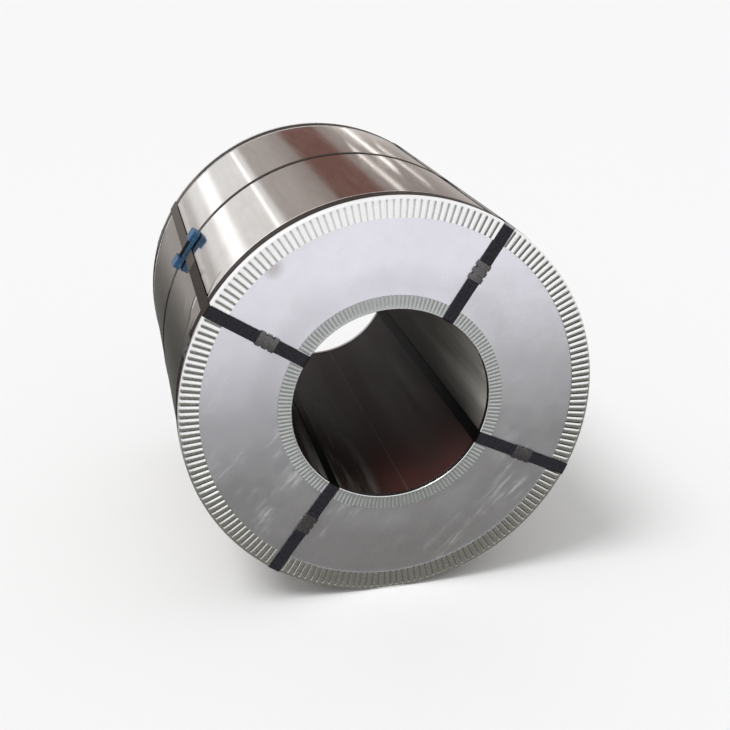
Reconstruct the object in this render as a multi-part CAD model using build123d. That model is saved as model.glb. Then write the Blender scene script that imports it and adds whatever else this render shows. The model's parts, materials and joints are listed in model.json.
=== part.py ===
"""Packed steel strip coil, lying on its side with its bore level.

Units are millimetres. The origin is on the bore's axis, half-way along the strip's width.
+Y runs along the bore from the front end to the back end, +X to the right seen from the front, +Z up.
An angle is measured about the bore's axis, from +X towards +Z.
"""

from build123d import *
import math
import os

# The wound strip
STRIP_BORE = 508.0
STRIP_OUTER = 1050.0
STRIP_WIDTH = 1050.0

# The sheets round the strip
WRAP_SHEET = 0.6
LINER_SHEET = 0.6
DISC_SHEET = 0.8
DISC_EDGE_GAP = 3.0
LAYER_GAP = 0.2

# The crimped angle rings on the edges
RING_SHEET = 0.8
CRIMP_RISE = 1.8
FOLD_RADIUS = 2.0
OUTER_RING_FACE = 50.0
OUTER_RING_SKIRT = 60.0
OUTER_CRIMPS = 192
OUTER_CRIMP_WIDTH = 5.0
OUTER_CRIMP_START = 8.0
INNER_RING_FACE = 35.0
INNER_RING_SKIRT = 15.0
INNER_CRIMPS = 168
INNER_CRIMP_WIDTH = 3.0
INNER_CRIMP_START = 5.0

# The straps
STRAP_THICK = 0.9
EYE_STRAP_WIDTH = 32.0
EYE_STRAP_ANGLES = {"upper_right": 57.0, "upper_left": 147.5, "lower_left": 234.0, "lower_right": 334.0}
STRAP_BEND = 2.1
STRAP_TAIL = 12.0
ROUND_STRAP_WIDTH = 32.0
ROUND_STRAP_INSET = 20.0
MIDDLE_STRAP_WIDTH = 19.0
MIDDLE_STRAP_SHIFT = 12.0

# The seals that join the straps
SEAL_LENGTH = 50.0
SEAL_SHEET = 0.9
SEAL_GAP = 0.1
SEAL_SIDE_GAP = 2.5
SEAL_NOTCH_LENGTH = 6.0
SEAL_NOTCH_DEPTH = 2.5
SEAL_NOTCH_SPACING = 18.0
SEAL_RADII = {"upper_right": 394.0, "upper_left": 364.0, "lower_left": 378.0, "lower_right": 391.0}
END_SEAL_ANGLE = 159.0
MIDDLE_SEAL_ANGLE = 200.0

# The moulded guard over the crossing of the middle strap and the upper left eye strap, and its insert
GUARD_ANGLE = 147.0
GUARD_AHEAD = 27.5
GUARD_LENGTH = 115.0
GUARD_WIDTH = 55.0
GUARD_RISE = 17.0
GUARD_LOW_RISE = 9.0
GUARD_WALL = 3.0
GUARD_FLOOR = 2.0
GUARD_BLOCK = 30.0
GUARD_CORNER = 9.0
GUARD_ROUND = 2.5
INSERT_GAP = 0.3
INSERT_DROP = 0.7
INSERT_ROUND = 1.0

# Radii worked out from the layers, from the bore outwards
strip_inner_r = STRIP_BORE / 2
strip_outer_r = STRIP_OUTER / 2
liner_outer_r = strip_inner_r - LAYER_GAP
liner_inner_r = liner_outer_r - LINER_SHEET
inner_skirt_outer_r = liner_inner_r - LAYER_GAP
clear_bore_r = inner_skirt_outer_r - RING_SHEET
eye_bore_outer_r = clear_bore_r - LAYER_GAP
eye_bore_inner_r = eye_bore_outer_r - STRAP_THICK
wrap_inner_r = strip_outer_r + LAYER_GAP
wrap_outer_r = wrap_inner_r + WRAP_SHEET
outer_skirt_inner_r = wrap_outer_r + LAYER_GAP
outer_skirt_outer_r = outer_skirt_inner_r + RING_SHEET
end_strap_inner_r = outer_skirt_outer_r + LAYER_GAP
end_strap_outer_r = end_strap_inner_r + STRAP_THICK
middle_strap_inner_r = wrap_outer_r + LAYER_GAP
middle_strap_outer_r = middle_strap_inner_r + STRAP_THICK
eye_outer_inner_r = end_strap_outer_r + LAYER_GAP
eye_outer_outer_r = eye_outer_inner_r + STRAP_THICK
guard_foot_r = eye_outer_outer_r + LAYER_GAP

# Distances of the end layers from the middle of the strip's width
strip_end = STRIP_WIDTH / 2
disc_face = strip_end + DISC_SHEET
ring_groove = disc_face + RING_SHEET
ring_face = ring_groove + CRIMP_RISE
strap_face = ring_face + STRAP_THICK
tail_face = strap_face + STRAP_THICK

TURN = Axis.Y


def ring_section(points, fold_points):
    """Turned ring whose section is a closed outline of (radius, y) points, with some corners rounded."""
    with BuildPart() as made:
        with BuildSketch(Plane.XY) as section:
            with BuildLine():
                Polyline(*points, close=True)
            make_face()
            for radius, corners in fold_points:
                picked = [v for v in section.vertices() if any(near(v, c) for c in corners)]
                fillet(picked, radius)
        revolve(axis=TURN, revolution_arc=360)
    return made.part


def near(vertex, corner):
    """Whether a sketch vertex is the stated (radius, y) corner."""
    return math.hypot(vertex.X - corner[0], vertex.Y - corner[1]) < 1e-6


def tube(inner_r, outer_r, low_y, high_y):
    """Plain turned tube about the bore's axis."""
    corners = [(inner_r, low_y), (outer_r, low_y), (outer_r, high_y), (inner_r, high_y)]
    return ring_section(corners, [])


def radial_places(count):
    """Angles in degrees of evenly spaced copies about the bore's axis."""
    return [360.0 * n / count for n in range(count)]


def turned(shape, angle):
    """The shape moved from angle 0, on +X, to the stated angle from +X towards +Z."""
    return shape.rotate(TURN, -angle)


def crimp_grooves(count, width, from_r, to_r, floor_y, top_y):
    """Rounded radial grooves round an end face, between two radii."""
    length = to_r - from_r
    groove = Pos((from_r + to_r) / 2, (floor_y + top_y) / 2, 0) * Box(length, abs(top_y - floor_y), width)
    ends = groove.edges().filter_by(Axis.Y)
    groove = fillet(ends, width * 0.45)
    return [turned(groove, angle) for angle in radial_places(count)]


def outer_ring():
    """Front angle ring over the outer edge: a crimped face leg and a plain skirt on the wrap."""
    inner_edge_r = outer_skirt_outer_r - OUTER_RING_FACE
    skirt_end = -(ring_face - OUTER_RING_SKIRT)
    outside = (outer_skirt_outer_r, -ring_face)
    inside = (outer_skirt_inner_r, -disc_face)
    points = [
        (inner_edge_r, -ring_face),
        outside,
        (outer_skirt_outer_r, skirt_end),
        (outer_skirt_inner_r, skirt_end),
        inside,
        (inner_edge_r, -disc_face),
    ]
    ring = ring_section(points, [(FOLD_RADIUS, [outside]), (FOLD_RADIUS - RING_SHEET, [inside])])
    grooves = crimp_grooves(
        OUTER_CRIMPS,
        OUTER_CRIMP_WIDTH,
        inner_edge_r - OUTER_CRIMP_WIDTH,
        outer_skirt_outer_r - OUTER_CRIMP_START,
        -ring_groove,
        -(ring_face + 1.0),
    )
    return ring - grooves


def inner_ring():
    """Front angle ring over the bore's edge: a crimped face leg and a short skirt in the bore."""
    outer_edge_r = clear_bore_r + INNER_RING_FACE
    skirt_end = -(ring_face - INNER_RING_SKIRT)
    outside = (clear_bore_r, -ring_face)
    inside = (inner_skirt_outer_r, -disc_face)
    points = [
        (outer_edge_r, -ring_face),
        outside,
        (clear_bore_r, skirt_end),
        (inner_skirt_outer_r, skirt_end),
        inside,
        (outer_edge_r, -disc_face),
    ]
    ring = ring_section(points, [(FOLD_RADIUS, [outside]), (FOLD_RADIUS - RING_SHEET, [inside])])
    grooves = crimp_grooves(
        INNER_CRIMPS,
        INNER_CRIMP_WIDTH,
        clear_bore_r + INNER_CRIMP_START,
        outer_edge_r + INNER_CRIMP_WIDTH,
        -ring_groove,
        -(ring_face + 1.0),
    )
    return ring - grooves


def end_disc():
    """Front end disc: a flat sheet ring against the strip's turns, clear of both rings' folds."""
    inside_fold = FOLD_RADIUS - RING_SHEET
    inner_r = inner_skirt_outer_r + inside_fold + DISC_EDGE_GAP
    outer_r = outer_skirt_inner_r - inside_fold - DISC_EDGE_GAP
    return tube(inner_r, outer_r, -disc_face, -strip_end)


def at_back(shape):
    """The same piece on the back end."""
    return mirror(shape, about=Plane.XZ)


def eye_strap(angle, seal_r):
    """Strap through the bore and over both ends and the outside, with its overlapped tail at the seal."""
    with BuildPart() as loop:
        with BuildSketch(Plane.XY):
            mid_r = (eye_bore_inner_r + eye_outer_outer_r) / 2
            with Locations((mid_r, 0)):
                RectangleRounded(
                    eye_outer_outer_r - eye_bore_inner_r,
                    2 * strap_face,
                    STRAP_BEND + STRAP_THICK,
                )
                RectangleRounded(
                    eye_outer_inner_r - eye_bore_outer_r,
                    2 * ring_face,
                    STRAP_BEND,
                    mode=Mode.SUBTRACT,
                )
        revolve(axis=TURN, revolution_arc=360)
    reach = eye_outer_outer_r + 1.0
    slab = Pos(reach / 2, 0, 0) * Box(reach, 2 * (strap_face + 1.0), EYE_STRAP_WIDTH)
    strap = loop.part & slab
    tail_length = SEAL_LENGTH + 2 * STRAP_TAIL
    tail = Pos(seal_r, -(strap_face + tail_face) / 2, 0) * Box(tail_length, STRAP_THICK, EYE_STRAP_WIDTH)
    return turned(strap + tail, angle)


def round_strap(inner_r, middle_y, width, seal_angle):
    """Strap round the outside, with its overlapped tail at the seal."""
    outer_r = inner_r + STRAP_THICK
    low_y = middle_y - width / 2
    high_y = middle_y + width / 2
    tail = tube(outer_r, outer_r + STRAP_THICK, low_y, high_y)
    reach = 2 * outer_r
    window = Pos(reach / 2, 0, 0) * Box(reach, 2 * STRIP_WIDTH, SEAL_LENGTH + 2 * STRAP_TAIL)
    return tube(inner_r, outer_r, low_y, high_y) + turned(tail & window, seal_angle)


def round_seal(strap_inner_r, middle_y, strap_width, angle):
    """Sheet clip over the two layers of a round strap, with its sides down to the sheet below."""
    slot_width = strap_width + 2 * SEAL_SIDE_GAP
    slot_r = strap_inner_r + 2 * STRAP_THICK + SEAL_GAP
    outer_r = slot_r + SEAL_SHEET
    body_half = slot_width / 2 + SEAL_SHEET
    body = tube(strap_inner_r, outer_r, middle_y - body_half, middle_y + body_half)
    slot = tube(0.9 * strap_inner_r, slot_r, middle_y - slot_width / 2, middle_y + slot_width / 2)
    window = Pos(outer_r, 0, 0) * Box(outer_r, 2 * STRIP_WIDTH, SEAL_LENGTH)
    clip = (body & window) - slot
    for along in (-SEAL_NOTCH_SPACING / 2, SEAL_NOTCH_SPACING / 2):
        for side in (-1, 1):
            place = Pos(outer_r, middle_y + side * body_half, along)
            clip = clip - place * Box(20 * STRAP_THICK, 2 * SEAL_NOTCH_DEPTH, SEAL_NOTCH_LENGTH)
    return turned(clip, angle)


def seal(angle, seal_r):
    """Folded sheet sleeve round the two layers of an eye strap, notched along both sides."""
    width = EYE_STRAP_WIDTH + 2 * SEAL_SIDE_GAP + 2 * SEAL_SHEET
    slot_low = ring_face - SEAL_GAP
    slot_high = tail_face + SEAL_GAP
    mid_y = -(slot_low + slot_high) / 2
    slot_rise = slot_high - slot_low
    body = Pos(seal_r, mid_y, 0) * Box(SEAL_LENGTH, slot_rise + 2 * SEAL_SHEET, width)
    body = fillet(body.edges().filter_by(Axis.X), SEAL_SHEET)
    slot = Pos(seal_r, mid_y, 0) * Box(SEAL_LENGTH + 2, slot_rise, width - 2 * SEAL_SHEET)
    notches = []
    for along in (-SEAL_NOTCH_SPACING / 2, SEAL_NOTCH_SPACING / 2):
        for side in (-1, 1):
            place = Pos(seal_r + along, mid_y, side * width / 2)
            notches.append(place * Box(SEAL_NOTCH_LENGTH, 2 * slot_rise + 4 * SEAL_SHEET, 2 * SEAL_NOTCH_DEPTH))
    return turned(body - slot - notches, angle)


def on_guard(shape):
    """A shape made round the guard's own middle, with +X outwards and +Z along it, moved to the crossing."""
    return turned(Pos(guard_foot_r, MIDDLE_STRAP_SHIFT - GUARD_AHEAD, 0) * shape, GUARD_ANGLE)


def guard_middle(width, shrink, low_x, high_x):
    """Block between the guard's two end blocks, from one height over its foot to another."""
    length = GUARD_LENGTH - 2 * GUARD_BLOCK - 2 * shrink
    return Pos((low_x + high_x) / 2, 0, 0) * Box(high_x - low_x, width - 2 * shrink, length)


def crossing_guard():
    """Moulded guard: two end blocks and a lower middle with a hollow, curved to lie on the eye strap."""
    block = Box(2 * GUARD_RISE, GUARD_WIDTH, GUARD_LENGTH)
    block = fillet(block.edges().filter_by(Axis.X), GUARD_CORNER)
    block = fillet(block.faces().sort_by(Axis.X)[-1].edges(), GUARD_ROUND)
    block = block - guard_middle(2 * GUARD_WIDTH, 0, GUARD_LOW_RISE, 2 * GUARD_RISE)
    block = block - guard_middle(GUARD_WIDTH - 2 * GUARD_WALL, 0, GUARD_FLOOR, GUARD_RISE)
    return on_guard(block) - Rot(90, 0, 0) * Cylinder(guard_foot_r, STRIP_WIDTH)


def guard_insert():
    """Dark block that lies in the guard's hollow, a little below its low walls."""
    low_x = GUARD_FLOOR + INSERT_GAP
    block = guard_middle(GUARD_WIDTH - 2 * GUARD_WALL, INSERT_GAP, low_x, GUARD_LOW_RISE - INSERT_DROP)
    return on_guard(fillet(block.faces().sort_by(Axis.X)[-1].edges(), INSERT_ROUND))


def build_parts():
    """Every piece by the name of its node."""
    parts = {
        "strip_coil": tube(strip_inner_r, strip_outer_r, -strip_end, strip_end),
        "outer_wrap": tube(wrap_inner_r, wrap_outer_r, -strip_end, strip_end),
        "bore_liner": tube(liner_inner_r, liner_outer_r, -strip_end, strip_end),
        "end_disc_front": end_disc(),
        "end_disc_back": at_back(end_disc()),
        "outer_edge_ring_front": outer_ring(),
        "inner_edge_ring_front": inner_ring(),
    }
    parts["outer_edge_ring_back"] = at_back(parts["outer_edge_ring_front"])
    parts["inner_edge_ring_back"] = at_back(parts["inner_edge_ring_front"])
    end_y = -(ring_face - ROUND_STRAP_INSET - ROUND_STRAP_WIDTH / 2)
    round_straps = {
        "end_strap_front": (end_strap_inner_r, end_y, ROUND_STRAP_WIDTH, END_SEAL_ANGLE),
        "end_strap_back": (end_strap_inner_r, -end_y, ROUND_STRAP_WIDTH, END_SEAL_ANGLE),
        "middle_strap": (middle_strap_inner_r, MIDDLE_STRAP_SHIFT, MIDDLE_STRAP_WIDTH, MIDDLE_SEAL_ANGLE),
    }
    for name, placing in round_straps.items():
        parts[name] = round_strap(*placing)
        parts[f"seal_of_{name}"] = round_seal(*placing)
    for name, angle in EYE_STRAP_ANGLES.items():
        parts[f"eye_strap_{name}"] = eye_strap(angle, SEAL_RADII[name])
        parts[f"seal_of_eye_strap_{name}"] = seal(angle, SEAL_RADII[name])
    parts["crossing_guard"] = crossing_guard()
    parts["guard_insert"] = guard_insert()
    return parts


os.makedirs("parts", exist_ok=True)
for node, shape in build_parts().items():
    export_step(shape, f"parts/{node}.step")
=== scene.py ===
"""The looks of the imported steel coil: its wrapper, crimped rings, straps, seals and their finishes.

Everything is in metres in the coil's own frame: +Y along the bore towards the back end, +Z up.
An angle is measured about the bore's axis, from +X towards +Z, as seen from the front end.
"""

import json
import math
import bmesh
import bpy
from mathutils import Matrix, Vector


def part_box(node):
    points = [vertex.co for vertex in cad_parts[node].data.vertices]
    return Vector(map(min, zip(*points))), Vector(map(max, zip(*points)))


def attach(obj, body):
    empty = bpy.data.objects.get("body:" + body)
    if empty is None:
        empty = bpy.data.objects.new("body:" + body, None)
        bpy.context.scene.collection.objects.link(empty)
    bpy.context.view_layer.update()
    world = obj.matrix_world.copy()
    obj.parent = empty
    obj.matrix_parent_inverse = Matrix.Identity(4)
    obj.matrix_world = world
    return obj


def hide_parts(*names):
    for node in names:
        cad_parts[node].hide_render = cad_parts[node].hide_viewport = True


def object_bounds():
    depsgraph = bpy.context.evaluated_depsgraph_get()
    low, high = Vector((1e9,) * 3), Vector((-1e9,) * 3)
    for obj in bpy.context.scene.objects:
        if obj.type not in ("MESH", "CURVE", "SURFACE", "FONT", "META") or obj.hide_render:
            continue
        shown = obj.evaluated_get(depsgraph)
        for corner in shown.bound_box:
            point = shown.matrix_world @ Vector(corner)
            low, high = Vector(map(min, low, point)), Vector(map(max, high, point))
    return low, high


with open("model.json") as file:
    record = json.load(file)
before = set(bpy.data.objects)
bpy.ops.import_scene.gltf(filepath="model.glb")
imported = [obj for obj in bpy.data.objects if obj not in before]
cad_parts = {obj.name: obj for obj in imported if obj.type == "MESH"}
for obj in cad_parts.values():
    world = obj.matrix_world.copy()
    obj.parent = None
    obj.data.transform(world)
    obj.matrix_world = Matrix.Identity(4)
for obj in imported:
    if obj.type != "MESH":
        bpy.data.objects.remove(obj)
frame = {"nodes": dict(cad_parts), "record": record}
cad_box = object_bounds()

scene = bpy.context.scene
MM = 0.001

# Sheets, straps and seals
RING_SHEET = 0.8 * MM
WRAP_SHEET = 0.6 * MM
WRAP_EDGE_ROUND = 0.1 * MM
WRAP_STEPS = 360
STRAP_THICK = 0.9 * MM
STRAP_GAP = 0.2 * MM
EYE_STRAP_WIDTH = 32 * MM
EYE_STRAP_ANGLES = {"upper_right": 57.0, "upper_left": 147.5, "lower_left": 234.0, "lower_right": 334.0}
STRAP_BEND = 2.5 * MM
STRAP_BEND_STEPS = 6
STRAP_EDGE_ROUND = 0.25 * MM
STRAP_COLUMNS = 4
STRAP_CUTS = 24
TAIL_LENGTH = 74 * MM
SEAL_WIDTH = 38.8 * MM
SEAL_SHEET = 0.9 * MM
SEAL_CORNER = 1.3 * MM
SEAL_CORNER_STEPS = 3
SEAL_EDGE_ROUND = 0.2 * MM
SEAL_BITE = 5.0 * MM
# A bitten span is also lower than the others, by this share of its bite
SEAL_DIP = 1 / 16
# Start, end and bite of each span along a seal
SEAL_SPANS = [
    (-25 * MM, -12 * MM, 0.0),
    (-12 * MM, -6 * MM, SEAL_BITE),
    (-6 * MM, 6 * MM, 0.0),
    (6 * MM, 12 * MM, SEAL_BITE),
    (12 * MM, 25 * MM, 0.0),
]

# Crimped rings: each pitch has four columns, one of them the groove. The pads fall by the crown to the rims
# of the groove, and the sides of the groove are as wide as the slope.
PITCH_COLUMNS = 4
FACE_ROWS = 3
FOLD_RADIUS = 2.0 * MM
FOLD_STEPS = 4
CRIMP_DEPTH = 1.8 * MM
CRIMP_EDGE_ROUND = 0.3 * MM
CRIMP_EDGE_STEPS = 2
CREASE_ANGLE = 25.0
OUTER_CRIMPS = 192
OUTER_CROWN = 1.0 * MM
OUTER_SLOPE = 0.6 * MM
OUTER_RING_FACE = 50 * MM
OUTER_CRIMP_START = 7 * MM
INNER_CRIMPS = 168
INNER_CROWN = 1.1 * MM
INNER_SLOPE = 0.5 * MM
INNER_RING_FACE = 35 * MM
INNER_RING_SKIRT = 15 * MM
INNER_CRIMP_START = 4 * MM

# Smoothing of edges
SHARP_ANGLE = 35.0
STRAP_SHARP_ANGLE = 60.0
ROUNDED_ANGLE = 50.0
ROUNDED_STEPS = 2

# Camera, floor and light
CAMERA_PLACE = (-0.6406, -2.9538, 1.1084)
CAMERA_TILT = 68.27
CAMERA_TURN = -13.25
CAMERA_SENSOR = 36.0
CAMERA_LENS = 54.43
CAMERA_REACH = 200.0
FLOOR_RADIUS = 60.0
FLOOR_SIDES = 96
WORLD_LEVEL = 0.62
KEY_LEVEL = 1.3
KEY_SOFTNESS = 25.0
KEY_FROM = (-0.5, -0.2, 1.0)

# Cards that only reflections see
CARD_COLUMNS = 16
CARD_ROWS = 8
CARD_WALL_Y = 6.0
CARD_WALL_STEP = 0.03
CARD_FLOOR_STEP = 2 * MM
# Name, angles on the wrapper, front and back y on the wrapper, tone, softness of the sides and of the ends
WRAP_CARDS = [
    ("grey_flag", 54, 118.6, -0.9, 0.9, (0.50, 0.455, 0.43), (0.05, 0.03), (0.02, 0.02)),
    ("dim_flag", 62, 112, -0.9, 0.9, (0.34, 0.29, 0.27), (0.30, 0.20), (0.02, 0.02)),
    ("red_brown_flag", 90.5, 103.5, -0.9, 0.9, (0.20, 0.095, 0.08), (0.03, 0.12), (0.02, 0.02)),
    ("back_glow", 62, 88, 0.15, 0.9, (0.80, 0.74, 0.70), (0.25, 0.25), (0.6, 0.1)),
    ("narrow_strip", 119.4, 120.3, -0.9, 0.9, (2.4, 2.3, 2.2), (0.2, 0.2), (0.02, 0.02)),
    ("left_flag", 139.0, 143.9, -0.9, 0.9, (0.62, 0.59, 0.58), (0.5, 0.02), (0.02, 0.02)),
    ("broad_strip", 129.0, 136.0, -0.9, 0.9, (1.7, 1.7, 1.7), (0.35, 0.35), (0.02, 0.02)),
    ("right_strip", 79.0, 80.4, -0.25, 0.9, (3.2, 3.1, 3.0), (0.2, 0.2), (0.1, 0.1)),
    ("second_right_strip", 85.4, 86.3, -0.6, 0.2, (2.8, 2.7, 2.6), (0.2, 0.2), (0.2, 0.2)),
    ("third_right_strip", 74.1, 75.0, -0.4, 0.3, (2.4, 2.3, 2.2), (0.2, 0.2), (0.2, 0.2)),
]
# Name, two near and two far corners as (x, y), tone, softness of the sides and of the near and far ends
FLOOR_CARDS = [
    (
        "far_floor_flag", ((-40, 0.3), (40, 0.3), (-40, 45), (40, 45)),
        (0.40, 0.375, 0.36), (0.3, 0.3), (0.01, 0.7),
    ),
    (
        "front_floor_flag", ((-3.5, -1.6), (3.6, -3.2), (-3.5, -0.4), (3.6, -0.4)),
        (0.125, 0.122, 0.10), (0.36, 0.36), (0.30, 0.02),
    ),
    (
        "back_floor_flag", ((-7, 0.3), (0.5, 0.3), (-7, 6), (0.5, 6)),
        (0.08, 0.08, 0.072), (0.45, 0.2), (0.06, 0.8),
    ),
]

# Where things are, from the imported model
bore_r = next(m["dims"]["r_mm"] for m in frame["record"]["mounts"] if m["name"] == "bore") * MM
ring_outer_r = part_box("outer_edge_ring_front")[1].z
ring_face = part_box("outer_edge_ring_back")[1].y
ring_skirt_end = -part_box("outer_edge_ring_front")[1].y
between_rings_r = (bore_r + ring_outer_r) / 2
wrap_outer_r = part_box("outer_wrap")[1].z
wrap_inner_r = wrap_outer_r - WRAP_SHEET
strip_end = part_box("outer_wrap")[1].y
end_strap_outer_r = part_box("end_strap_front")[1].z
floor_z = cad_box[0][2]

# Marks on the finishes
SMUDGE_PLACE = (-0.285, -strip_end, 0.372)
CREASE_PLACE = (-0.468, -0.40, 0.243)
WRAP_SEAM_ANGLE = 215.0
LINER_SEAM_ANGLE = 281.0
LINER_RED_ANGLE = -62.0
LINER_RUB_ANGLE = -119.4
# The end discs' darker, greyer mottling is thickest towards this angle
DISC_MOTTLE_ANGLE = -63.2
# Round the rings, the painted shade in the crimp grooves is weakest towards this angle
RING_LEAST_SHADE_ANGLE = 107.5
DISH_WIDTH = 84 * MM
DISH_DEPTH = 1.5 * MM
# Where the paler stretch of the upper left strap, partly dust and partly painted sheen, begins along the
# bore
DUST_AND_SHEEN_START = -0.16


def outward_at(angle):
    """Unit vector from the bore's axis towards an angle in degrees, from +X towards +Z."""
    turned_by = math.radians(angle)
    return Vector((math.cos(turned_by), 0, math.sin(turned_by)))


# Making and finishing meshes

def finished(bm, name, finish, slot, *nodes, sheet=0.0, sheet_side=-1.0, rounded=0.0, sharp=SHARP_ANGLE):
    """A new piece from a bmesh, with its finish, riding on the coil in place of its nodes.

    Its open edges stay sharp, so that a thin sheet isn't shaded round its rim.
    """
    mesh = bpy.data.meshes.new(name)
    bm.edges.index_update()
    open_edges = [edge.index for edge in bm.edges if edge.is_boundary]
    bm.to_mesh(mesh)
    bm.free()
    mesh.shade_smooth()
    mesh.set_sharp_from_angle(angle=math.radians(sharp))
    for index in open_edges:
        mesh.edges[index].use_edge_sharp = True
    mesh.materials.append(finish)
    made = bpy.data.objects.new(name, mesh)
    scene.collection.objects.link(made)
    if sheet:
        wall = made.modifiers.new("sheet thickness", "SOLIDIFY")
        wall.thickness = sheet
        wall.offset = sheet_side
        wall.use_even_offset = True
    if rounded:
        edge = made.modifiers.new("rounded edges", "BEVEL")
        edge.width = rounded
        edge.segments = ROUNDED_STEPS
        edge.limit_method = "ANGLE"
        edge.angle_limit = math.radians(ROUNDED_ANGLE)
        edge.use_clamp_overlap = True
        edge.harden_normals = True
    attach(made, "root")
    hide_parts(*nodes)
    return made


def spun(bm, steps):
    """Spins the bmesh's vertices and edges once round the bore's axis, closed at the seam."""
    bmesh.ops.spin(
        bm, geom=bm.verts[:] + bm.edges[:], cent=(0, 0, 0), axis=(0, 1, 0), dvec=(0, 0, 0), angle=math.tau,
        steps=steps, use_merge=True,
    )
    bmesh.ops.remove_doubles(bm, verts=bm.verts, dist=0.01 * MM)
    bmesh.ops.recalc_face_normals(bm, faces=bm.faces)


def line_of(points):
    """A bmesh with one line of edges through (radius, y) points, at angle 0."""
    bm = bmesh.new()
    line = [bm.verts.new((r, y, 0)) for r, y in points]
    for pair in zip(line, line[1:]):
        bm.edges.new(pair)
    return bm


def loop_of(low_r, high_r, low_y, high_y, corner, segments):
    """A bmesh with one closed loop of edges at angle 0: a rectangle of radius and y with round corners."""
    bm = bmesh.new()
    corners = ((low_r, low_y), (high_r, low_y), (high_r, high_y), (low_r, high_y))
    bm.faces.new([bm.verts.new((r, y, 0)) for r, y in corners])
    bmesh.ops.bevel(
        bm, geom=bm.verts[:], offset=corner, segments=segments, profile=0.5, affect="VERTICES", material=-1
    )
    bmesh.ops.delete(bm, geom=bm.faces[:], context="FACES_ONLY")
    return bm


def pulled(bm, edges, vec):
    """Extrudes edges by a vector and gives back the edges that it made."""
    grown = bmesh.ops.extrude_edge_only(bm, edges=edges)["geom"]
    verts = [item for item in grown if isinstance(item, bmesh.types.BMVert)]
    bmesh.ops.translate(bm, verts=verts, vec=vec)
    return [item for item in grown if isinstance(item, bmesh.types.BMEdge)]


def add_to(bm, other):
    """Moves another bmesh's shape into this one."""
    mesh = bpy.data.meshes.new("part")
    other.to_mesh(mesh)
    other.free()
    bm.from_mesh(mesh)
    bpy.data.meshes.remove(mesh)


def turn(bm, angle):
    """Turns the bmesh about the bore's axis by an angle in degrees, from +X towards +Z."""
    rotation = Matrix.Rotation(-math.radians(angle), 3, "Y")
    bmesh.ops.rotate(bm, verts=bm.verts, cent=(0, 0, 0), matrix=rotation)


def to_back(bm):
    """Mirrors the bmesh from the front end to the back end."""
    bmesh.ops.scale(bm, vec=(1, -1, 1), verts=bm.verts)
    bmesh.ops.reverse_faces(bm, faces=bm.faces)


def facing_out(bm, spot):
    """Turns all faces over where the face nearest a spot looks away from it."""
    nearest = min(bm.faces, key=lambda face: (face.calc_center_median() - spot).length)
    if nearest.normal.dot(spot - nearest.calc_center_median()) < 0:
        bmesh.ops.reverse_faces(bm, faces=bm.faces)


# Node materials

def new_finish(name):
    """An empty node material with its principled shader and its Object coordinates."""
    finish = bpy.data.materials.new(name)
    finish.use_nodes = True
    tree = finish.node_tree
    shader = tree.nodes["Principled BSDF"]
    place = tree.nodes.new("ShaderNodeTexCoord").outputs["Object"]
    return finish, tree, shader, place


def stretched(tree, place, scale):
    """The place scaled along each axis, for a pattern that is longer one way."""
    mapping = tree.nodes.new("ShaderNodeMapping")
    mapping.inputs["Scale"].default_value = scale
    tree.links.new(place, mapping.inputs["Vector"])
    return mapping.outputs["Vector"]


def turned(tree, place, angle):
    """The place turned about the bore's axis, for a pattern that runs slantwise over an end."""
    node = tree.nodes.new("ShaderNodeVectorRotate")
    node.rotation_type = "Y_AXIS"
    node.inputs["Angle"].default_value = math.radians(angle)
    tree.links.new(place, node.inputs["Vector"])
    return node.outputs["Vector"]


def along(tree, place, direction):
    """How far the place lies along a direction."""
    node = tree.nodes.new("ShaderNodeVectorMath")
    node.operation = "DOT_PRODUCT"
    tree.links.new(place, node.inputs[0])
    node.inputs[1].default_value = direction
    return node.outputs["Value"]


def away_from(tree, place, spot):
    """Distance of the place from a spot."""
    node = tree.nodes.new("ShaderNodeVectorMath")
    node.operation = "DISTANCE"
    tree.links.new(place, node.inputs[0])
    node.inputs[1].default_value = spot
    return node.outputs["Value"]


def seam_at(tree, place, angle):
    """Distance round the coil from a lengthwise seam, and a share that is 1 on its side of the axis."""
    across = along(tree, place, outward_at(angle + 90))
    this_side = ranged(tree, along(tree, place, outward_at(angle)), 0.0, 0.05, 0, 1)
    return across, this_side


def seam_line(tree, across, this_side, half_width, faded_at, share):
    """A share that is strongest on a seam and fades out beside it."""
    near = ranged(tree, maths(tree, "ABSOLUTE", across), half_width, faded_at, share, 0)
    return product(tree, near, this_side)


def noise_at(tree, place, scale, detail=3.0, roughness=0.55):
    """Soft noise from 0 to 1 with features about 1/scale metres across."""
    node = tree.nodes.new("ShaderNodeTexNoise")
    node.inputs["Scale"].default_value = scale
    node.inputs["Detail"].default_value = detail
    node.inputs["Roughness"].default_value = roughness
    tree.links.new(place, node.inputs["Vector"])
    return node.outputs["Fac"]


def ranged(tree, value, low, high, to_low, to_high, way="LINEAR"):
    """A value from low to high taken to another range, and held at its ends."""
    node = tree.nodes.new("ShaderNodeMapRange")
    node.interpolation_type = way
    for socket, number in (("From Min", low), ("From Max", high), ("To Min", to_low), ("To Max", to_high)):
        node.inputs[socket].default_value = number
    tree.links.new(value, node.inputs["Value"])
    return node.outputs["Result"]


def mixed(tree, share, first, second):
    """Two colours mixed by a share, each a colour or another node's colour."""
    node = tree.nodes.new("ShaderNodeMix")
    node.data_type = "RGBA"
    tree.links.new(share, node.inputs["Factor"])
    inputs = [s for s in node.inputs if s.type == "RGBA"]
    for socket, colour in zip(inputs, (first, second)):
        if isinstance(colour, tuple):
            socket.default_value = (*colour, 1.0)
        else:
            tree.links.new(colour, socket)
    return next(s for s in node.outputs if s.type == "RGBA")


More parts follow.
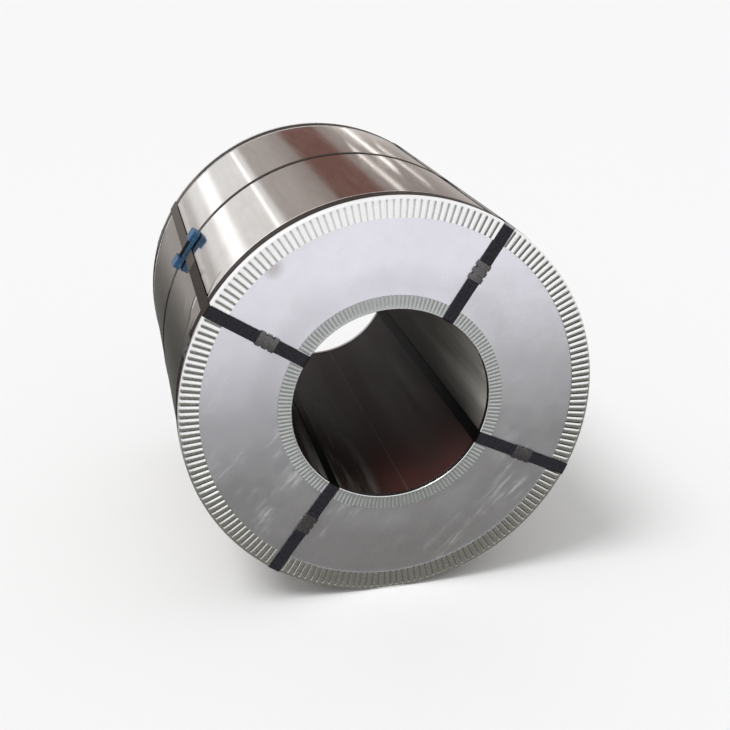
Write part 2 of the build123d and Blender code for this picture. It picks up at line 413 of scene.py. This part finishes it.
def maths(tree, operation, first, second=None):
    """One math node on values or numbers."""
    node = tree.nodes.new("ShaderNodeMath")
    node.operation = operation
    for socket, value in zip(node.inputs, (first, second)):
        if value is None:
            continue
        if isinstance(value, (int, float)):
            socket.default_value = value
        else:
            tree.links.new(value, socket)
    return node.outputs[0]


def product(tree, first, *others):
    """Several values or numbers multiplied, the first of them a value."""
    for other in others:
        first = maths(tree, "MULTIPLY", first, other)
    return first


def bumped(tree, shader, height, distance, strength=1.0, under=None):
    """Bump of a height on the shader, over another bump if there is one."""
    node = tree.nodes.new("ShaderNodeBump")
    node.inputs["Strength"].default_value = strength
    node.inputs["Distance"].default_value = distance
    tree.links.new(height, node.inputs["Height"])
    if under is not None:
        tree.links.new(under, node.inputs["Normal"])
    tree.links.new(node.outputs["Normal"], shader.inputs["Normal"])
    return node.outputs["Normal"]


def part_of(tree, place, axis):
    """One coordinate of the place."""
    node = tree.nodes.new("ShaderNodeSeparateXYZ")
    tree.links.new(place, node.inputs[0])
    return node.outputs[axis]


def radius_at(tree, place):
    """Distance from the bore's axis."""
    flat = stretched(tree, place, (1, 0, 1))
    node = tree.nodes.new("ShaderNodeVectorMath")
    node.operation = "LENGTH"
    tree.links.new(flat, node.inputs[0])
    return node.outputs["Value"]


def disc_finish():
    """Satin galvanised sheet with fine mottling, slow waves, light slanting scuffs and one old smudge."""
    finish, tree, shader, place = new_finish("satin galvanised end sheet")
    shader.inputs["Metallic"].default_value = 0.92
    fine = noise_at(tree, place, 420, 2)
    cloud = noise_at(tree, place, 7, 4)
    # Darker, greyer mottling, thickest towards the lower right
    downward = along(tree, place, outward_at(DISC_MOTTLE_ANGLE))
    spots = ranged(tree, noise_at(tree, place, 30, 5, 0.7), 0.42, 0.68, 0, 1)
    mottle = product(tree, spots, ranged(tree, downward, -0.25, 0.15, 0.2, 1, "SMOOTHSTEP"))
    slanted = stretched(tree, turned(tree, place, 48), (5, 1, 42))
    scratches = ranged(tree, noise_at(tree, slanted, 1, 6, 0.72), 0.54, 0.74, 0, 0.9)
    scuffs = product(tree, scratches, ranged(tree, noise_at(tree, place, 8, 2), 0.50, 0.60, 0, 1))
    grey = mixed(tree, ranged(tree, fine, 0.35, 0.65, 0, 1), (0.83, 0.82, 0.90), (0.90, 0.89, 0.98))
    grey = mixed(tree, ranged(tree, cloud, 0.5, 0.8, 0, 0.3), grey, (0.76, 0.75, 0.80))
    grey = mixed(tree, product(tree, mottle, 0.6), grey, (0.70, 0.70, 0.69))
    grey = mixed(tree, scuffs, grey, (0.97, 0.97, 0.97))
    near_smudge = ranged(tree, away_from(tree, place, SMUDGE_PLACE), 8 * MM, 30 * MM, 0.75, 0)
    smudge = product(tree, near_smudge, ranged(tree, cloud, 0.35, 0.6, 0.4, 1))
    grey = mixed(tree, smudge, grey, (0.50, 0.45, 0.46))
    tree.links.new(grey, shader.inputs["Base Color"])
    satin = ranged(tree, cloud, 0.3, 0.7, 0.27, 0.36)
    satin = maths(tree, "ADD", satin, product(tree, mottle, 0.08))
    satin = maths(tree, "ADD", satin, product(tree, scuffs, 0.35))
    tree.links.new(satin, shader.inputs["Roughness"])
    waves = bumped(tree, shader, noise_at(tree, place, 5, 1), 3 * MM, 0.3)
    dish_start = bore_r + INNER_RING_FACE
    radial = radius_at(tree, place)
    dish = ranged(tree, radial, dish_start, dish_start + DISH_WIDTH, 0, 1, "SMOOTHSTEP")
    dished = bumped(tree, shader, dish, DISH_DEPTH, 1.0, waves)
    bumped(tree, shader, fine, 0.05 * MM, 0.4, dished)
    return finish


def ring_finish():
    """Galvanised sheet with painted shade in its crimp grooves, weaker near the top, the left and the
    bottom; the rings at the bore are dull.
    """
    finish, tree, shader, place = new_finish("galvanised crimped sheet")
    fine = noise_at(tree, place, 300, 2)
    grain = ranged(tree, fine, 0.35, 0.65, 0, 1)
    radial = radius_at(tree, place)
    at_bore = product(
        tree,
        ranged(tree, radial, between_rings_r, between_rings_r + 10 * MM, 1, 0),
        ranged(tree, radial, bore_r + 1 * MM, bore_r + 3 * MM, 0, 1),
    )
    bright = mixed(tree, grain, (0.88, 0.88, 0.885), (0.96, 0.96, 0.96))
    dull = mixed(tree, grain, (0.46, 0.48, 0.475), (0.54, 0.56, 0.555))
    grey = mixed(tree, at_bore, bright, dull)
    from_middle = maths(tree, "ABSOLUTE", part_of(tree, place, "Y"))
    upward = maths(tree, "DIVIDE", along(tree, place, outward_at(RING_LEAST_SHADE_ANGLE)), radial)
    # Painted shade: the crimp grooves are darkened as if in shade, most at the right and least near the top,
    # the left and the bottom
    groove_shade = product(
        tree,
        ranged(tree, from_middle, ring_face - CRIMP_DEPTH + 0.15 * MM, ring_face - OUTER_CROWN, 1, 0),
        ranged(tree, radial, ring_outer_r - 2 * MM, ring_outer_r - 1 * MM, 1, 0),
        ranged(tree, upward, 0.70, 0.97, 1, 0.35),
        ranged(tree, at_bore, 0, 1, 1, 0.55),
        ranged(tree, part_of(tree, place, "X"), -0.4, 0.3, 0.75, 1),
        ranged(tree, part_of(tree, place, "Z"), -0.45, -0.1, 0.5, 1),
    )
    tree.links.new(mixed(tree, groove_shade, grey, (0.14, 0.138, 0.13)), shader.inputs["Base Color"])
    tree.links.new(ranged(tree, at_bore, 0, 1, 0.95, 0.55), shader.inputs["Metallic"])
    worn = maths(tree, "ADD", ranged(tree, fine, 0.3, 0.7, 0.20, 0.28), product(tree, at_bore, 0.15))
    tree.links.new(worn, shader.inputs["Roughness"])
    bumped(tree, shader, noise_at(tree, place, 40, 2), 0.6 * MM, 0.3)
    return finish


def wrap_finish():
    """Bright rolled sheet, slightly warm: slow waves, rolling streaks, a lap seam and a few creases."""
    finish, tree, shader, place = new_finish("bright rolled wrapper sheet")
    shader.inputs["Metallic"].default_value = 0.97
    long_way = stretched(tree, place, (1, 0.12, 1))
    streaks = noise_at(tree, long_way, 60, 3)
    cloud = noise_at(tree, place, 5, 3)
    tone = mixed(tree, ranged(tree, streaks, 0.3, 0.7, 0, 1), (0.54, 0.51, 0.485), (0.60, 0.575, 0.55))
    tone = mixed(tree, ranged(tree, cloud, 0.5, 0.8, 0, 0.5), tone, (0.52, 0.49, 0.45))
    across, this_side = seam_at(tree, place, WRAP_SEAM_ANGLE)
    line = seam_line(tree, across, this_side, 0.4 * MM, 1.0 * MM, 0.8)
    tree.links.new(mixed(tree, line, tone, (0.10, 0.09, 0.08)), shader.inputs["Base Color"])
    tree.links.new(ranged(tree, streaks, 0.3, 0.7, 0.08, 0.115), shader.inputs["Roughness"])
    waves = bumped(tree, shader, noise_at(tree, long_way, 7, 1), 0.9 * MM, 0.2)
    step = ranged(tree, across, -0.4 * MM, 0.4 * MM, 0, 1)
    fading = ranged(tree, across, 0.01, 0.2, 1, 0)
    lap = bumped(tree, shader, product(tree, step, fading, this_side), WRAP_SHEET, 1.0, waves)
    ridge = maths(tree, "ABSOLUTE", maths(tree, "SUBTRACT", noise_at(tree, place, 5, 2), 0.5))
    near_crease = ranged(tree, away_from(tree, place, CREASE_PLACE), 50 * MM, 170 * MM, 1, 0, "SMOOTHSTEP")
    crease = product(tree, ranged(tree, ridge, 0.0, 0.09, 1, 0, "SMOOTHSTEP"), near_crease)
    creased = bumped(tree, shader, crease, 2.5 * MM, 0.5, lap)
    bumped(tree, shader, streaks, 0.02 * MM, 0.2, creased)
    return finish


def liner_finish():
    """Dull, oiled dark sheet: lengthwise bands, a lap seam, a reddish cast, a painted patch of light on one
    side and a few rubs.
    """
    finish, tree, shader, place = new_finish("dull oiled liner sheet")
    shader.inputs["Metallic"].default_value = 0.0
    shader.inputs["Specular IOR Level"].default_value = 0.06
    bands = noise_at(tree, stretched(tree, place, (1, 0.08, 1)), 24, 3)
    tone = mixed(tree, ranged(tree, bands, 0.3, 0.7, 0, 1), (0.021, 0.0135, 0.0115), (0.037, 0.025, 0.022))
    near_front = ranged(tree, part_of(tree, place, "Y"), -0.40, 0.35, 1, 0.1)
    red = product(
        tree,
        ranged(tree, noise_at(tree, place, 3.5, 2), 0.38, 0.62, 0.5, 1),
        ranged(tree, along(tree, place, outward_at(LINER_RED_ANGLE)), 0.195, 0.245, 0, 1),
        near_front,
    )
    tone = mixed(tree, red, tone, (0.090, 0.030, 0.026))
    # Painted light: a pale patch on the right wall of the bore near the front end, where light from the
    # opening falls
    painted_light_patch = product(
        tree,
        ranged(tree, part_of(tree, place, "X"), 0.17, 0.235, 0, 1),
        ranged(tree, part_of(tree, place, "Z"), -0.11, -0.03, 0, 1),
        ranged(tree, bands, 0.3, 0.7, 0.5, 1),
        near_front,
    )
    tone = mixed(tree, painted_light_patch, tone, (0.55, 0.54, 0.49))
    rubbed = product(
        tree,
        ranged(tree, along(tree, place, outward_at(LINER_RUB_ANGLE)), 0.222, 0.25, 0, 1, "SMOOTHSTEP"),
        ranged(tree, bands, 0.45, 0.65, 0, 1),
        near_front,
    )
    tone = mixed(tree, rubbed, tone, (0.17, 0.165, 0.155))
    across, this_side = seam_at(tree, place, LINER_SEAM_ANGLE)
    line = seam_line(tree, across, this_side, 0.6 * MM, 2.2 * MM, 0.5)
    tree.links.new(mixed(tree, line, tone, (0.16, 0.14, 0.135)), shader.inputs["Base Color"])
    tree.links.new(ranged(tree, bands, 0.3, 0.7, 0.38, 0.50), shader.inputs["Roughness"])
    bumped(tree, shader, bands, 0.5 * MM, 0.3)
    return finish


def strap_finish():
    """Black waxed steel with faint rubs, painted shade in the bore, a painted brown reflection outside, dust
    and painted sheen far along, a painted highlight at one bend.
    """
    finish, tree, shader, place = new_finish("black waxed strapping")
    shader.inputs["Metallic"].default_value = 0.0
    shader.inputs["Specular IOR Level"].default_value = 0.04
    rubs = noise_at(tree, place, 140, 4)
    radial = radius_at(tree, place)
    tone = mixed(tree, ranged(tree, rubs, 0.4, 0.75, 0, 1), (0.023, 0.022, 0.028), (0.042, 0.040, 0.049))
    # Painted shade: the strap is near black where it runs inside the bore
    bore_shade = ranged(tree, radial, bore_r, bore_r + 3 * MM, 1, 0)
    tone = mixed(tree, bore_shade, tone, (0.003, 0.0028, 0.0028))
    # Painted reflection: the strap is browner where it lies round the outside of the wrapper
    outside = ranged(tree, radial, wrap_outer_r - 1.5 * MM, wrap_outer_r, 0, 1)
    tone = mixed(tree, outside, tone, (0.026, 0.0175, 0.0145))
    # A paler stretch of the upper left strap towards the back, partly dust and partly painted sheen
    dust_and_sheen = product(
        tree,
        ranged(tree, part_of(tree, place, "Y"), DUST_AND_SHEEN_START, DUST_AND_SHEEN_START + 4 * MM, 0, 1),
        ranged(tree, along(tree, place, outward_at(EYE_STRAP_ANGLES["upper_left"])), 0.51, 0.515, 0, 1),
        ranged(tree, rubs, 0.3, 0.7, 0.7, 1),
        outside,
    )
    tone = mixed(tree, dust_and_sheen, tone, (0.100, 0.084, 0.071))
    from_middle = maths(tree, "ABSOLUTE", part_of(tree, place, "Y"))
    # Painted highlight: a light line where the upper right strap bends over the rims
    bend_highlight = product(
        tree,
        ranged(tree, from_middle, ring_face - 4 * MM, ring_face - 2 * MM, 0, 1),
        ranged(tree, radial, wrap_outer_r - 4 * MM, wrap_outer_r - 2 * MM, 0, 1),
        ranged(tree, along(tree, place, outward_at(EYE_STRAP_ANGLES["upper_right"])), 0.45, 0.5, 0, 1),
        ranged(tree, noise_at(tree, place, 60, 3), 0.3, 0.55, 0.2, 1),
    )
    tree.links.new(mixed(tree, bend_highlight, tone, (0.42, 0.42, 0.41)), shader.inputs["Base Color"])
    tree.links.new(ranged(tree, rubs, 0.3, 0.7, 0.32, 0.5), shader.inputs["Roughness"])
    bumped(tree, shader, rubs, 0.08 * MM, 0.4)
    return finish


def seal_finish():
    """Dull grey crimped steel."""
    finish, tree, shader, place = new_finish("dull grey seal steel")
    shader.inputs["Metallic"].default_value = 0.75
    worn = noise_at(tree, place, 160, 4, 0.7)
    tone = mixed(tree, ranged(tree, worn, 0.35, 0.7, 0, 1), (0.085, 0.079, 0.081), (0.205, 0.192, 0.194))
    tree.links.new(tone, shader.inputs["Base Color"])
    tree.links.new(ranged(tree, worn, 0.3, 0.7, 0.28, 0.45), shader.inputs["Roughness"])
    bumped(tree, shader, worn, 0.2 * MM, 0.4)
    return finish


def guard_finish():
    """Blue moulded plastic, slightly scuffed."""
    finish, tree, shader, place = new_finish("blue moulded plastic")
    shader.inputs["Specular IOR Level"].default_value = 0.2
    scuffs = noise_at(tree, place, 120, 4)
    tone = mixed(tree, ranged(tree, scuffs, 0.45, 0.7, 0, 1), (0.028, 0.085, 0.185), (0.055, 0.16, 0.27))
    tree.links.new(tone, shader.inputs["Base Color"])
    tree.links.new(ranged(tree, scuffs, 0.3, 0.7, 0.32, 0.5), shader.inputs["Roughness"])
    bumped(tree, shader, scuffs, 0.1 * MM, 0.4)
    return finish


def insert_finish():
    """Matt black rubber, near black so that it also stands in for the shade in the guard's trough."""
    finish, tree, shader, place = new_finish("matt black rubber")
    shader.inputs["Specular IOR Level"].default_value = 0.02
    grain = noise_at(tree, place, 500, 2)
    # Near black: partly the rubber's own colour and partly painted shade in the guard's trough
    tone = mixed(tree, grain, (0.004, 0.004, 0.005), (0.010, 0.010, 0.010))
    tree.links.new(tone, shader.inputs["Base Color"])
    tree.links.new(ranged(tree, grain, 0.3, 0.7, 0.7, 0.85), shader.inputs["Roughness"])
    bumped(tree, shader, grain, 0.1 * MM, 0.5)
    return finish


def strip_finish():
    """Cold rolled strip, hidden by its packing."""
    finish, tree, shader, place = new_finish("cold rolled strip")
    shader.inputs["Metallic"].default_value = 1.0
    turns = noise_at(tree, place, 200, 2)
    tone = mixed(tree, turns, (0.46, 0.46, 0.47), (0.54, 0.54, 0.55))
    tree.links.new(tone, shader.inputs["Base Color"])
    tree.links.new(ranged(tree, turns, 0.3, 0.7, 0.3, 0.4), shader.inputs["Roughness"])
    return finish


finishes = {
    "strip_steel": strip_finish(),
    "wrap_sheet": wrap_finish(),
    "liner_sheet": liner_finish(),
    "disc_sheet": disc_finish(),
    "ring_sheet": ring_finish(),
    "strap_steel": strap_finish(),
    "seal_steel": seal_finish(),
    "guard_plastic": guard_finish(),
    "insert_rubber": insert_finish(),
}


# The crimped rings

def crimped_ring(profile, crimps, low_r, high_r, slope, crown):
    """Front ring: its profile spun round, with a groove pressed into one column of every pitch."""
    bm = line_of(profile)
    columns = crimps * PITCH_COLUMNS
    spun(bm, columns)
    column = 360.0 / columns
    turn(bm, column / 2)
    grooves = []
    for face in bm.faces:
        middle = face.calc_center_median()
        on_face = middle.y < -ring_face + CRIMP_DEPTH / 4
        within = low_r < math.hypot(middle.x, middle.z) < high_r
        count = round(math.degrees(math.atan2(middle.z, middle.x)) / column)
        if on_face and within and count % PITCH_COLUMNS == 0:
            grooves.append(face)
    facing_out(bm, Vector(((low_r + high_r) / 2, -1, 0)))
    rims = {vert for face in grooves for vert in face.verts}
    bmesh.ops.translate(bm, verts=list(rims), vec=(0, crown, 0))
    bmesh.ops.inset_region(bm, faces=grooves, thickness=slope, use_even_offset=True, use_boundary=False)
    floors = {vert for face in grooves for vert in face.verts}
    bmesh.ops.translate(bm, verts=list(floors), vec=(0, CRIMP_DEPTH - crown, 0))
    creases = [edge for edge in bm.edges if is_crease(edge, low_r, high_r)]
    bmesh.ops.bevel(
        bm, geom=creases, offset=CRIMP_EDGE_ROUND, segments=CRIMP_EDGE_STEPS, profile=0.5, affect="EDGES",
        material=-1, clamp_overlap=True,
    )
    return bm


def is_crease(edge, low_r, high_r):
    """Whether an edge is a bend of the crimped face between two radii."""
    spot = edge.verts[0].co
    on_crimps = spot.y < -ring_face + 2 * CRIMP_DEPTH
    within = low_r - 1 * MM < math.hypot(spot.x, spot.z) < high_r + 1 * MM
    bent = len(edge.link_faces) == 2 and edge.calc_face_angle(0) > math.radians(CREASE_ANGLE)
    return on_crimps and within and bent


def fold(corner_r, side):
    """Points of the round fold from a ring's face to its skirt, which lies on that side of the corner."""
    centre_r = corner_r - side * FOLD_RADIUS
    centre_y = -ring_face + FOLD_RADIUS
    points = []
    for step in range(FOLD_STEPS + 1):
        bend = math.pi / 2 * step / FOLD_STEPS
        radius = centre_r + side * FOLD_RADIUS * math.sin(bend)
        points.append((radius, centre_y - FOLD_RADIUS * math.cos(bend)))
    return points


def ring_profile(edge_r, start_r, corner_r, side, skirt_end):
    """Outer face of a ring's sheet, from its edge and its crimps over the fold to the skirt's end."""
    rows = [edge_r + (start_r - edge_r) * row / FACE_ROWS for row in range(FACE_ROWS + 1)]
    return [(radius, -ring_face) for radius in rows] + fold(corner_r, side) + [(corner_r, skirt_end)]


def make_rings():
    """The four crimped rings, front and back."""
    outer_edge = ring_outer_r - OUTER_RING_FACE
    outer_start = ring_outer_r - OUTER_CRIMP_START
    outer = ring_profile(outer_edge, outer_start, ring_outer_r, 1, -ring_skirt_end)
    inner_edge = bore_r + INNER_RING_FACE
    inner_start = bore_r + INNER_CRIMP_START
    inner = ring_profile(inner_edge, inner_start, bore_r, -1, -ring_face + INNER_RING_SKIRT)
    kinds = {
        "outer": (outer, OUTER_CRIMPS, outer_edge, outer_start, OUTER_SLOPE, OUTER_CROWN),
        "inner": (inner, INNER_CRIMPS, inner_start, inner_edge, INNER_SLOPE, INNER_CROWN),
    }
    for kind, sizes in kinds.items():
        for end in ("front", "back"):
            bm = crimped_ring(*sizes)
            if end == "back":
                to_back(bm)
            finished(
                bm, f"{kind}_crimped_ring_{end}", finishes["ring_sheet"], "ring_sheet",
                f"{kind}_edge_ring_{end}", sheet=RING_SHEET,
            )


# The wrapper

def make_wrapper():
    """The wrapper sheet as one smooth turned tube."""
    bm = loop_of(wrap_inner_r, wrap_outer_r, -strip_end, strip_end, WRAP_EDGE_ROUND, 1)
    spun(bm, WRAP_STEPS)
    finished(bm, "wrapper_sheet", finishes["wrap_sheet"], "wrap_sheet", "outer_wrap")


# The straps

def make_eye_strap(place, angle):
    """One strap through the bore and over the outside, with the overlapped tail under its seal."""
    outer_mid = end_strap_outer_r + STRAP_GAP + STRAP_THICK / 2
    bore_mid = bore_r - STRAP_GAP - STRAP_THICK / 2
    end_mid = ring_face + STRAP_THICK / 2
    bm = loop_of(bore_mid, outer_mid, -end_mid, end_mid, STRAP_BEND, STRAP_BEND_STEPS)
    long_edges = [edge for edge in bm.edges if edge.calc_length() > 2 * EYE_STRAP_WIDTH]
    bmesh.ops.subdivide_edges(bm, edges=long_edges, cuts=STRAP_CUTS)
    band = bm.edges[:]
    for _ in range(STRAP_COLUMNS):
        band = pulled(bm, band, (0, 0, EYE_STRAP_WIDTH / STRAP_COLUMNS))
    bmesh.ops.translate(bm, verts=bm.verts, vec=(0, 0, -EYE_STRAP_WIDTH / 2))
    bmesh.ops.recalc_face_normals(bm, faces=bm.faces)
    for vert in bm.verts:
        vert.co.x = math.sqrt(vert.co.x ** 2 - vert.co.z ** 2)
    seal_low, seal_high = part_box(f"seal_of_eye_strap_{place}")
    seal_mid = (seal_low + seal_high) / 2
    tail_r = math.hypot(seal_mid.x, seal_mid.z)
    tail = bmesh.ops.create_grid(bm, x_segments=2, y_segments=2, size=0.5)["verts"]
    bmesh.ops.scale(bm, vec=(TAIL_LENGTH, EYE_STRAP_WIDTH, 1), verts=tail)
    bmesh.ops.rotate(bm, verts=tail, cent=(0, 0, 0), matrix=Matrix.Rotation(math.pi / 2, 3, "X"))
    bmesh.ops.translate(bm, verts=tail, vec=(tail_r, -end_mid - STRAP_THICK, 0))
    turn(bm, angle)
    finished(
        bm, f"eye_strapping_{place}", finishes["strap_steel"], "strap_steel", f"eye_strap_{place}",
        sheet=STRAP_THICK, sheet_side=0.0, rounded=STRAP_EDGE_ROUND, sharp=STRAP_SHARP_ANGLE,
    )


def make_eye_seal(place, angle):
    """One crimped sleeve round the two layers of an eye strap, narrower where its sides are bitten in."""
    low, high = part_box(f"seal_of_eye_strap_{place}")
    middle = (low + high) / 2
    seal_r = math.hypot(middle.x, middle.z)
    bm = bmesh.new()
    for start, end, bite in SEAL_SPANS:
        half = SEAL_WIDTH / 2 - bite
        span = loop_of(-half, half, low.y + bite * SEAL_DIP, high.y, SEAL_CORNER, SEAL_CORNER_STEPS)
        pulled(span, span.edges[:], (0, 0, end - start))
        bmesh.ops.translate(span, verts=span.verts, vec=(0, 0, seal_r + start))
        add_to(bm, span)
    bmesh.ops.rotate(bm, verts=bm.verts, cent=(0, 0, 0), matrix=Matrix.Rotation(math.pi / 2, 3, "Y"))
    bmesh.ops.recalc_face_normals(bm, faces=bm.faces)
    turn(bm, angle)
    finished(
        bm, f"crimped_sleeve_{place}", finishes["seal_steel"], "seal_steel", f"seal_of_eye_strap_{place}",
        sheet=SEAL_SHEET, rounded=SEAL_EDGE_ROUND,
    )


def make_straps():
    """The four straps through the bore and their sleeves."""
    for place, angle in EYE_STRAP_ANGLES.items():
        make_eye_strap(place, angle)
        make_eye_seal(place, angle)


def carry_over():
    """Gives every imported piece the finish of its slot, for those that no new piece stands in for."""
    slots = {row["node"]: row["material_slot"] for row in frame["record"]["subparts"]}
    for node, obj in frame["nodes"].items():
        for spot in obj.material_slots:
            spot.material = finishes[slots[node]]


# Floor, lights and camera

def stage_card(name, placed, tone, softness):
    """A card that only reflections see, with its points placed by their shares across and along it.

    Its softness is that of its two sides, then of its two ends. It isn't sampled as a lamp.
    """
    bm = bmesh.new()
    bm.loops.layers.uv.new("card")
    bmesh.ops.create_grid(bm, x_segments=CARD_COLUMNS, y_segments=CARD_ROWS, size=0.5, calc_uvs=True)
    for vert in bm.verts:
        vert.co = placed(vert.co.x + 0.5, vert.co.y + 0.5)
    mesh = bpy.data.meshes.new(name)
    bm.to_mesh(mesh)
    bm.free()
    finish = bpy.data.materials.new(name)
    finish.use_nodes = True
    finish.cycles.emission_sampling = "NONE"
    tree = finish.node_tree
    tree.nodes.clear()
    spot = tree.nodes.new("ShaderNodeUVMap").outputs[0]
    share = None
    for axis, sides in zip("XY", softness):
        from_low = part_of(tree, spot, axis)
        from_high = maths(tree, "SUBTRACT", 1.0, from_low)
        for reach, soft in zip((from_low, from_high), sides):
            side = ranged(tree, reach, 0.0, soft, 0.0, 1.0, "SMOOTHSTEP")
            share = side if share is None else product(tree, share, side)
    glow = tree.nodes.new("ShaderNodeEmission")
    glow.inputs["Color"].default_value = (*tone, 1)
    clear = tree.nodes.new("ShaderNodeBsdfTransparent")
    mix = tree.nodes.new("ShaderNodeMixShader")
    tree.links.new(share, mix.inputs[0])
    tree.links.new(clear.outputs[0], mix.inputs[1])
    tree.links.new(glow.outputs[0], mix.inputs[2])
    out = tree.nodes.new("ShaderNodeOutputMaterial")
    tree.links.new(mix.outputs[0], out.inputs["Surface"])
    mesh.materials.append(finish)
    card = bpy.data.objects.new(name, mesh)
    scene.collection.objects.link(card)
    card.visible_camera = False
    card.visible_diffuse = False
    card.visible_shadow = False
    card.visible_transmission = False
    card.visible_volume_scatter = False


def mirrored_spot(angle, y, wall_y):
    """Where the wall behind the coil shows in the wrapper at an angle and a y, from the camera's place."""
    outward = outward_at(angle)
    spot = outward * wrap_outer_r + Vector((0, y, 0))
    ray = spot - Vector(CAMERA_PLACE)
    ray -= 2 * ray.dot(outward) * outward
    return spot + ray * ((wall_y - spot.y) / ray.y)


def make_cards():
    """Flags and strips behind the coil for its wrapper, and dark flags over the floor for ends and sides."""
    for count, (name, low, high, front_y, back_y, tone, sides, ends) in enumerate(WRAP_CARDS):
        wall_y = CARD_WALL_Y - CARD_WALL_STEP * count

        def on_wall(share, depth):
            return mirrored_spot(low + (high - low) * share, front_y + (back_y - front_y) * depth, wall_y)

        stage_card(name, on_wall, tone, (sides, ends))
    for count, (name, corners, tone, sides, ends) in enumerate(FLOOR_CARDS):
        z = floor_z + (1 + count) * CARD_FLOOR_STEP
        near_left, near_right, far_left, far_right = [Vector((*corner, z)) for corner in corners]

        def on_floor(share, depth):
            return near_left.lerp(near_right, share).lerp(far_left.lerp(far_right, share), depth)

        stage_card(name, on_floor, tone, (sides, ends))


def make_floor():
    """A plain pale floor, level with the lowest point of the coil."""
    bm = bmesh.new()
    bmesh.ops.create_circle(bm, cap_ends=True, segments=FLOOR_SIDES, radius=FLOOR_RADIUS)
    bmesh.ops.translate(bm, verts=bm.verts, vec=(0, 0, floor_z))
    mesh = bpy.data.meshes.new("floor")
    bm.to_mesh(mesh)
    bm.free()
    finish, _, shader, _ = new_finish("pale floor")
    shader.inputs["Base Color"].default_value = (0.97, 0.97, 0.97, 1)
    shader.inputs["Roughness"].default_value = 0.9
    shader.inputs["Specular IOR Level"].default_value = 0.1
    mesh.materials.append(finish)
    floor = bpy.data.objects.new("floor", mesh)
    scene.collection.objects.link(floor)


def make_world():
    """A plain grey level for the light, and white where the camera or a reflection looks past the floor."""
    world = bpy.data.worlds.new("studio")
    scene.world = world
    world.use_nodes = True
    tree = world.node_tree
    tree.nodes.clear()
    ray = tree.nodes.new("ShaderNodeLightPath")
    seen = maths(tree, "MAXIMUM", ray.outputs["Is Camera Ray"], ray.outputs["Is Glossy Ray"])
    seen = maths(tree, "MAXIMUM", seen, ray.outputs["Is Transmission Ray"])
    level = tree.nodes.new("ShaderNodeBackground")
    level.inputs["Color"].default_value = (1, 1, 1, 1)
    level.inputs["Strength"].default_value = WORLD_LEVEL
    white = tree.nodes.new("ShaderNodeBackground")
    white.inputs["Strength"].default_value = 1.0
    white.inputs["Color"].default_value = (1, 1, 1, 1)
    mix = tree.nodes.new("ShaderNodeMixShader")
    tree.links.new(seen, mix.inputs[0])
    tree.links.new(level.outputs[0], mix.inputs[1])
    tree.links.new(white.outputs[0], mix.inputs[2])
    out = tree.nodes.new("ShaderNodeOutputWorld")
    tree.links.new(mix.outputs[0], out.inputs["Surface"])


def make_key():
    """One soft key from high up, to the left and a little to the front."""
    light = bpy.data.lights.new("key", "SUN")
    light.energy = KEY_LEVEL
    light.angle = math.radians(KEY_SOFTNESS)
    lamp = bpy.data.objects.new("key", light)
    lamp.rotation_euler = Vector(KEY_FROM).to_track_quat("Z", "Y").to_euler()
    scene.collection.objects.link(lamp)


def make_camera():
    """The photograph's viewpoint."""
    lens = bpy.data.cameras.new("camera")
    lens.sensor_width = CAMERA_SENSOR
    lens.lens = CAMERA_LENS
    lens.clip_end = CAMERA_REACH
    camera = bpy.data.objects.new("camera", lens)
    camera.location = CAMERA_PLACE
    camera.rotation_euler = (math.radians(CAMERA_TILT), 0, math.radians(CAMERA_TURN))
    scene.collection.objects.link(camera)
    scene.camera = camera


scene.view_settings.view_transform = "Standard"
make_rings()
make_wrapper()
make_straps()
carry_over()
make_floor()
make_world()
make_key()
make_cards()
make_camera()
